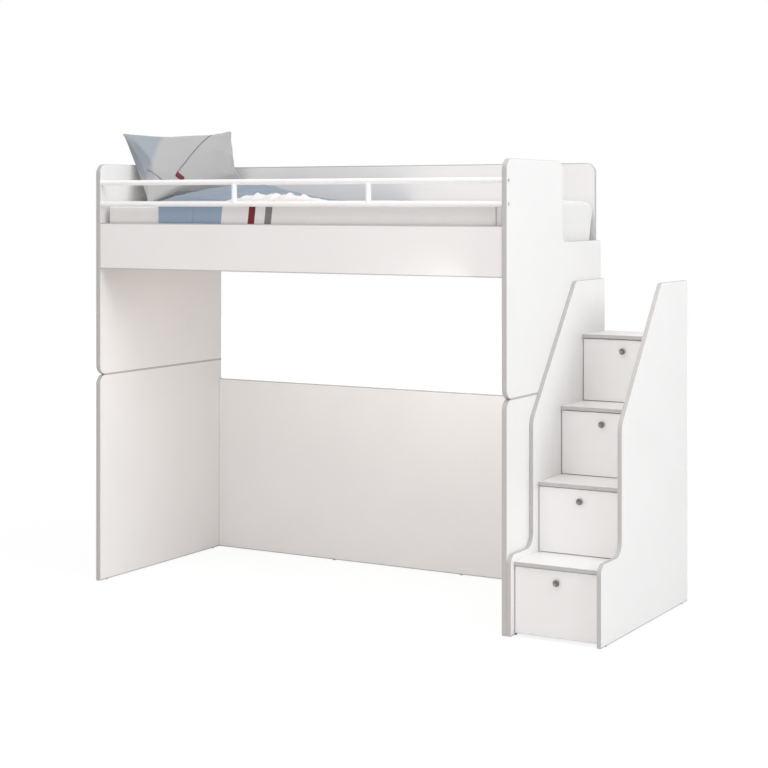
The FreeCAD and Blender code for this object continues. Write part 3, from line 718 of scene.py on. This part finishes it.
# Pillow: two panels of cotton, filled by a cloth simulation, leaning on the head panel. It is blue at its
# near end and grey elsewhere, with two piped seams and a plain tab.
pillow = {
    "width": 0.746, "height": 0.365, "columns": 104, "rows": 56, "gap": 0.004, "drawIn": 0.055,
    "farAt": (-1.0, -0.48, -0.18, 0.08, 0.5, 1.0),
    "farIn": (-0.018, -0.018, 0.012, 0.006, -0.009, -0.014),
    # how it is filled
    "start": 0.03, "quickStart": 0.07, "swell": 0.6, "frames": 30,
    "fabric": {"quality": 6, "mass": 0.25, "air_damping": 2, "tension_stiffness": 20,
               "compression_stiffness": 12, "shear_stiffness": 8, "bending_stiffness": 0.4,
               "use_pressure": True, "uniform_pressure_force": 0.0, "pressure_factor": 5.0,
               "use_pressure_volume": True, "target_volume": 0.0205},
    # how it stands, in degrees and metres
    "lean": 24.0, "turn": 8.5, "tilt": 3.9, "farLess": 9.0, "across": 0.004,
    # its colours: grey within reach of one point of the flat panel, blue beyond
    "pitch": 0.0014, "greyFrom": (0.177, -0.428), "greyReach": 0.66, "greySoft": 0.016,
    "blue": (0.345, 0.385, 0.43), "blueDeep": (0.31, 0.35, 0.395), "grey": (0.485, 0.485, 0.485),
    "greyDeep": (0.445, 0.445, 0.445),
    # its seams and tab, placed on the flat panel
    "nearest": 6, "nearSoft": 0.0008, "seamFrom": (1.243, -2.212), "seamReach": 2.583,
    "seamStart": 112.1, "seamEnd": 123.5, "seamSteps": 48, "shortFrom": (-0.358, -0.018),
    "shortTo": (-0.262, -0.113), "shortSteps": 12, "cord": 0.0016, "cordSides": 3, "cordLift": 0.6,
    "cordColour": (0.14, 0.14, 0.15), "cordDeep": (0.11, 0.11, 0.12), "tabAt": (-0.178, -0.082),
    "tabSize": (0.050, 0.028), "tabTurn": -42.0, "tabCells": (8, 5), "tabLift": 0.0012,
    "tabThick": 0.0014, "tab": (0.20, 0.03, 0.04), "tabDeep": (0.16, 0.022, 0.03),
}


def pillowColour(graph, flat, slub):
    centre = graph.node("CombineXYZ", None, {0: pillow["greyFrom"][0], 1: pillow["greyFrom"][1]})
    reach = graph.node("VectorMath", {"operation": "DISTANCE"}, {0: flat, 1: centre}, "Value")
    blue = slub.mottle(pillow["blue"], pillow["blueDeep"])
    grey = slub.mottle(pillow["grey"], pillow["greyDeep"])
    edge = [pillow["greyReach"] + side * pillow["greySoft"] for side in (-1, 1)]
    return reach.smooth(*edge).blend(grey, blue)


pillowCotton = cloth("pillowCotton", pillowColour, "clothMap", pillow["pitch"])


def fillPillow():
    bpy.ops.object.select_all(action="DESELECT")
    bpy.ops.mesh.primitive_grid_add(x_subdivisions=pillow["columns"], y_subdivisions=pillow["rows"], size=1)
    obj = bpy.context.object
    obj.scale = (pillow["width"], pillow["height"], 1)
    bpy.ops.object.transform_apply(location=True, rotation=True, scale=True)
    bpy.ops.object.mode_set(mode="EDIT")
    bpy.ops.mesh.select_all(action="SELECT")
    bpy.ops.mesh.extrude_region_move(TRANSFORM_OT_translate={"value": (0, 0, pillow["gap"])})
    bpy.ops.mesh.select_all(action="SELECT")
    bpy.ops.mesh.normals_make_consistent(inside=False)
    bpy.ops.object.mode_set(mode="OBJECT")
    full = pillow["start"]
    flat = []
    for vertex in obj.data.vertices:
        point = vertex.co
        flat.append((point.x, point.y))
        side = 1 if point.z > pillow["gap"] / 2 else -1
        a, b = 2 * point.x / pillow["width"], 2 * point.y / pillow["height"]
        point.x *= 1 - pillow["drawIn"] * (1 - b * b)      # the ends are cut hollow, the far one more
        point.x -= ease(a) * between(pillow["farAt"], pillow["farIn"], b)
        swell = max(0.0, 1 - a * a) * max(0.0, 1 - b * b)
        point.z = side * (pillow["gap"] / 2 + full * swell ** pillow["swell"])
    stuff = obj.modifiers.new("stuff", "CLOTH")
    for key, value in pillow["fabric"].items():
        setattr(stuff.settings, key, value)
    stuff.settings.effector_weights.gravity = 0
    stuff.collision_settings.use_collision = False
    stuff.point_cache.frame_start, stuff.point_cache.frame_end = 1, pillow["frames"]
    for step in range(1, pillow["frames"] + 1):
        bpy.context.scene.frame_set(step)
    bpy.ops.object.modifier_apply(modifier="stuff")
    bpy.context.scene.frame_set(1)
    layer = obj.data.uv_layers[0] if obj.data.uv_layers else obj.data.uv_layers.new()
    layer.name = "clothMap"
    for loop in obj.data.loops:
        layer.data[loop.index].uv = flat[loop.vertex_index]
    return obj, flat


def standPillow(points):
    # Local width goes across the bed, height goes up, and the thickness faces the foot. Towards its far
    # end the pillow leans less, turned about its top edge.
    upright = Matrix(((0, 0, 1, 0), (1, 0, 0, 0), (0, 1, 0, 0), (0, 0, 0, 1)))
    tilt = Matrix.Rotation(math.radians(pillow["tilt"]), 4, "X")
    lean = Matrix.Rotation(math.radians(-pillow["lean"]), 4, "Y")
    turn = Matrix.Rotation(math.radians(-pillow["turn"]), 4, "Z")
    edge = Vector((0, 0, pillow["height"] / 2))
    placed = []
    for point in points:
        less = math.radians(pillow["farLess"] * ease(2 * point.x / pillow["width"]))
        hung = Matrix.Rotation(less, 4, "Y") @ (upright @ point - edge)
        placed.append(turn @ lean @ tilt @ (edge + hung))
    return placed


def onFront(flat, points, target, lift):
    # The place on the filled front panel that was at the target while the panel was flat.
    front = [(Vector(spot), point) for spot, point in zip(flat, points) if point.z > 0]
    near = sorted(front, key=lambda item: (item[0] - target).length_squared)[:pillow["nearest"]]
    weights = [1 / ((spot - target).length + pillow["nearSoft"]) for spot, point in near]
    total = sum((point * weight for (spot, point), weight in zip(near, weights)), Vector())
    return total / sum(weights) + Vector((0, 0, lift))


def seamSpots():
    # One seam curves from the tab to the top edge, a short one runs towards the near end.
    curved, short = [], []
    for k in range(pillow["seamSteps"] + 1):
        t = k / pillow["seamSteps"]
        angle = math.radians(pillow["seamStart"] + (pillow["seamEnd"] - pillow["seamStart"]) * t)
        away = Vector((math.cos(angle), math.sin(angle)))
        curved.append(Vector(pillow["seamFrom"]) + pillow["seamReach"] * away)
    for k in range(pillow["shortSteps"] + 1):
        t = k / pillow["shortSteps"]
        short.append(Vector(pillow["shortFrom"]).lerp(Vector(pillow["shortTo"]), t))
    return curved, short


def sewnTab(flat, points, shift, material):
    # A plain tab sewn flat on the front panel.
    bpy.ops.object.select_all(action="DESELECT")
    columns, rows = pillow["tabCells"]
    bpy.ops.mesh.primitive_grid_add(x_subdivisions=columns, y_subdivisions=rows, size=1)
    obj = bpy.context.object
    turn = Matrix.Rotation(math.radians(pillow["tabTurn"]), 2)
    places = []
    for vertex in obj.data.vertices:
        spot = Vector((vertex.co.x * pillow["tabSize"][0], vertex.co.y * pillow["tabSize"][1]))
        places.append(onFront(flat, points, Vector(pillow["tabAt"]) + turn @ spot, pillow["tabLift"]))
    for vertex, place in zip(obj.data.vertices, standPillow(places)):
        vertex.co = place + shift
    settle(obj, "pillowTab", material)
    body = obj.modifiers.new("body", "SOLIDIFY")
    body.thickness, body.offset = pillow["tabThick"], 1
    applyAll(obj)
    bpy.ops.object.shade_smooth()
    return obj


def seamCord(name, paths, material):
    curve = bpy.data.curves.new(name, "CURVE")
    curve.dimensions = "3D"
    curve.bevel_depth, curve.bevel_resolution = pillow["cord"], pillow["cordSides"]
    for path in paths:
        spline = curve.splines.new("NURBS")
        spline.points.add(len(path) - 1)
        for point, place in zip(spline.points, path):
            point.co = (*place, 1)
        spline.order_u, spline.use_endpoint_u = 3, True
    obj = bpy.data.objects.new(name, curve)
    bpy.context.collection.objects.link(obj)
    bpy.ops.object.select_all(action="DESELECT")
    obj.select_set(True)
    bpy.context.view_layer.objects.active = obj
    bpy.ops.object.convert(target="MESH")
    obj = settle(bpy.context.object, name, material)
    bpy.ops.object.shade_smooth()
    return obj


filled, flatPlaces = fillPillow()
local = [vertex.co.copy() for vertex in filled.data.vertices]
cordLift = pillow["cord"] * pillow["cordLift"]
seams = [[onFront(flatPlaces, local, spot, cordLift) for spot in spots] for spots in seamSpots()]
placed = standPillow(local)
pillowLow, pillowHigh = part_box("pillow")
low = Vector([min(point[i] for point in placed) for i in range(3)])
high = Vector([max(point[i] for point in placed) for i in range(3)])
shift = (pillowLow + pillowHigh) / 2 - (low + high) / 2
shift += Vector((0, pillow["across"], 0))
shift.z = pillowLow.z - low.z
for vertex, point in zip(filled.data.vertices, placed):
    vertex.co = point + shift
bpy.ops.object.select_all(action="DESELECT")
filled.select_set(True)
bpy.context.view_layer.objects.active = filled
settle(filled, "pillowCase", pillowCotton)
bpy.ops.object.shade_smooth()
finer = filled.modifiers.new("finer", "SUBSURF")
finer.levels = finer.render_levels = 1
applyAll(filled)
cordCotton = moulded("pipingCotton", pillow["cordColour"], pillow["cordDeep"])
tabCotton = cloth("tabCotton", lambda graph, flat, slub: slub.mottle(pillow["tab"], pillow["tabDeep"]))
piping = seamCord("pillowPiping", [[p + shift for p in standPillow(seam)] for seam in seams], cordCotton)
tab = sewnTab(flatPlaces, local, shift, tabCotton)
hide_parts("pillow")
for piece in (filled, piping, tab):
    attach(piece, "bed")
print("pillow filled")


# Floor, light and camera. Each light has its place, aim, size, power and colour.
studio = {
    "floor": 30.0, "floorDrop": 0.0003, "floorWhite": 0.79, "floorGlow": 0.8, "floorLevel": 1.085,
    "fadeFrom": 2.2, "fadeTo": 6.0, "ambient": (0.46, 0.44, 0.435), "skyWhite": (1.0, 1.0, 1.0),
    "camera": (3.88065, -6.7469, 1.7215), "yaw": 29.9, "lens": 82.19, "shift": -0.2355,
    "sensor": 36.0, "farClip": 100.0,
    "lights": {
        "keyLight": ((6.5, -1.1, 3.6), (0.4, 0.0, 1.0), (3.5, 3.0), 184.0, (0.96, 1.0, 1.015)),
        "lowLight": ((1.1, -7.0, 0.95), (-0.3, 0.0, 0.8), (4.5, 1.6), 80.0, (1.0, 0.965, 0.955)),
        "topLight": ((0.5, -1.5, 6.0), (0.3, 0.0, 1.0), (6.0, 5.0), 162.0, (1.0, 0.985, 0.98)),
        "underLight": ((-0.1, -0.12, 1.40), (-0.15, 0.12, 0.0), (1.5, 0.5), 2.9, (1.0, 0.97, 0.96)),
        "sideLight": ((0.7, -0.42, 1.05), (-1.2, 0.2, 1.15), (0.6, 0.6), 2.6, (1.0, 0.97, 0.96)),
        "backLight": ((-4.6, 5.2, 3.0), (0.0, 0.0, 1.0), (5.0, 3.0), 120.0, (1.0, 0.985, 0.98)),
    },
}


def whiteFloor():
    bpy.ops.object.select_all(action="DESELECT")
    bpy.ops.mesh.primitive_plane_add(size=studio["floor"], location=(0, 0, -studio["floorDrop"]))
    floor = bpy.context.object
    floor.name = "studioFloor"
    material, graph, place = startMaterial("floorWhite")
    seen = graph.node("LightPath", output="Is Camera Ray")
    matte = graph.node("BsdfDiffuse", None, {"Color": (studio["floorWhite"],) * 3})
    glow = graph.node("Emission", None, {"Color": studio["skyWhite"], "Strength": studio["floorLevel"]})
    far = graph.node("VectorMath", {"operation": "LENGTH"}, {0: place}, "Value")
    fade = far.smooth(studio["fadeFrom"], studio["fadeTo"])
    share = studio["floorGlow"] + (1 - studio["floorGlow"]) * fade
    surface = graph.node("MixShader", None, {0: seen * share, 1: matte, 2: glow})
    graph.node("OutputMaterial", None, {"Surface": surface})
    floor.data.materials.append(material)


def softLight(name, place, aim, size, power, colour):
    lamp = bpy.data.lights.new(name, "AREA")
    lamp.shape, lamp.size, lamp.size_y, lamp.energy, lamp.color = "RECTANGLE", *size, power, colour
    obj = bpy.data.objects.new(name, lamp)
    bpy.context.collection.objects.link(obj)
    obj.location = place
    obj.rotation_euler = (Vector(aim) - Vector(place)).to_track_quat("-Z", "Y").to_euler()
    obj.visible_camera = False


def studioWorld():
    world = bpy.data.worlds.new("studioWorld")
    world.use_nodes = True
    world.node_tree.nodes.clear()
    graph = Sock(world.node_tree)
    kinds = ("Camera", "Glossy", "Transmission")
    rays = [graph.node("LightPath", output=f"Is {kind} Ray") for kind in kinds]
    seen = graph.math("MINIMUM", rays[0] + rays[1] + rays[2], 1.0)
    colour = seen.blend(studio["ambient"], studio["skyWhite"])
    sky = graph.node("Background", None, {"Color": colour, "Strength": 1.0})
    graph.node("OutputWorld", None, {"Surface": sky})
    bpy.context.scene.world = world


whiteFloor()
studioWorld()
for name, setting in studio["lights"].items():
    softLight(name, *setting)
eye = bpy.data.cameras.new("photoCamera")
eye.lens, eye.sensor_width, eye.shift_y = studio["lens"], studio["sensor"], studio["shift"]
eye.clip_end = studio["farClip"]
camera = bpy.data.objects.new("photoCamera", eye)
bpy.context.collection.objects.link(camera)
camera.location = studio["camera"]
camera.rotation_euler = (math.pi / 2, 0, math.radians(studio["yaw"]))
bpy.context.scene.camera = camera
bpy.context.scene.view_settings.view_transform = "Standard"
print("floor, light and camera set")
